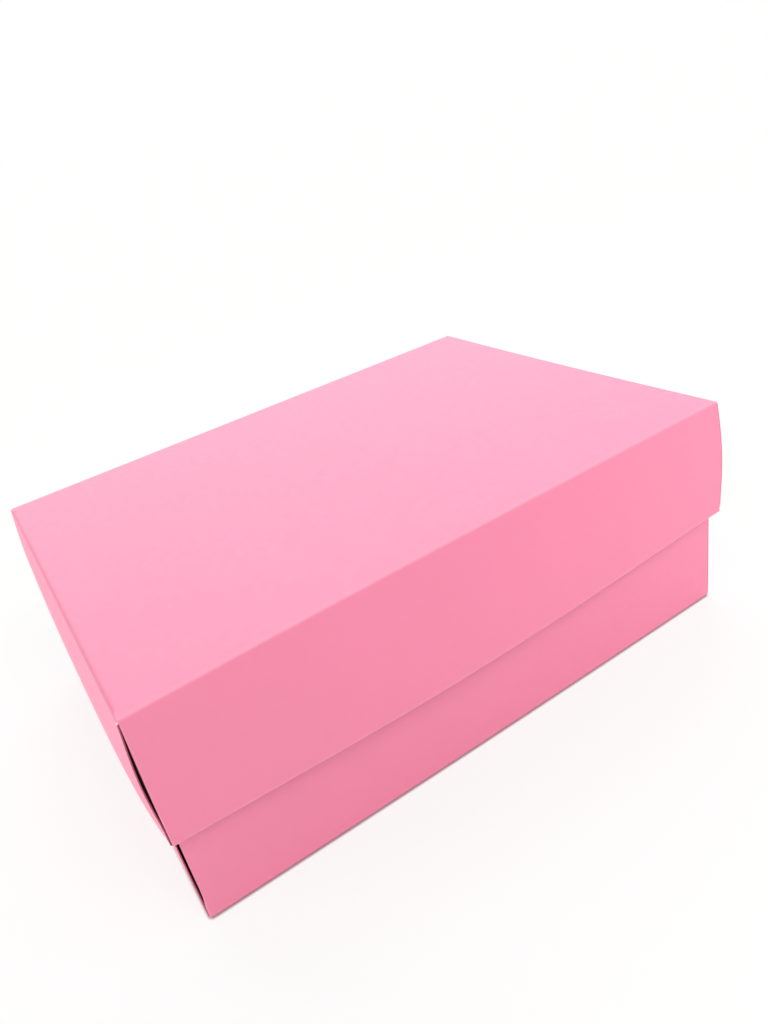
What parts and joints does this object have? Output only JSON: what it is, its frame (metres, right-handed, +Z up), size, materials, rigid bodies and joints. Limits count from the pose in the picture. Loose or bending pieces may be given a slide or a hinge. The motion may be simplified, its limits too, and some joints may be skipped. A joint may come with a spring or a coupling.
{
  "type": "gift box",
  "caption": "Rectangular box folded from solid board: a deep tray with roll-over double ends and a lift-off lid that slides down over it.",
  "frame": {"origin": "middle of the box's underside, on the surface that it stands on", "axes": "+X along the long sides, to the right as seen from the front; -Y is the front long side; +Z is up"},
  "size_m": [0.3104, 0.2328, 0.112],
  "materials": {
    "lid_board": "matte",
    "base_board": "matte",
    "inside_board": "matte"
  },
  "bodies": {
    "base": {"base_floor": "base_board", "base_front_wall": "base_board", "base_back_wall": "base_board", "base_left_outer_end": "base_board", "base_left_rim_strip": "base_board", "base_right_outer_end": "base_board", "base_right_rim_strip": "base_board", "base_front_left_corner_flap": "inside_board", "base_front_right_corner_flap": "inside_board", "base_back_left_corner_flap": "inside_board", "base_back_right_corner_flap": "inside_board"},
    "lid": {"lid_top": "lid_board", "lid_front_wall": "lid_board", "lid_back_wall": "lid_board", "lid_left_outer_end": "lid_board", "lid_left_rim_strip": "lid_board", "lid_left_inner_end": "inside_board", "lid_right_outer_end": "lid_board", "lid_right_rim_strip": "lid_board", "lid_right_inner_end": "inside_board", "lid_front_left_corner_flap": "inside_board", "lid_front_right_corner_flap": "inside_board", "lid_back_left_corner_flap": "inside_board", "lid_back_right_corner_flap": "inside_board"},
    "left_roll_over": {"base_left_inner_end": "inside_board"},
    "right_roll_over": {"base_right_inner_end": "inside_board"}
  },
  "joints": [
    {"name": "lid_lift", "type": "slide", "parent": "base", "child": "lid", "axis": [0, 0, 1], "range_m": [0, 0.12]},
    {"name": "left_roll_over_fold", "type": "hinge", "parent": "base", "child": "left_roll_over", "pos_m": [-0.14549, 0, 0.1104], "axis": [0, -1, 0], "range_deg": [0, 90]},
    {"name": "right_roll_over_fold", "type": "hinge", "parent": "base", "child": "right_roll_over", "pos_m": [0.14546, 0, 0.1104], "axis": [0, 1, 0], "range_deg": [0, 90]}
  ]
}
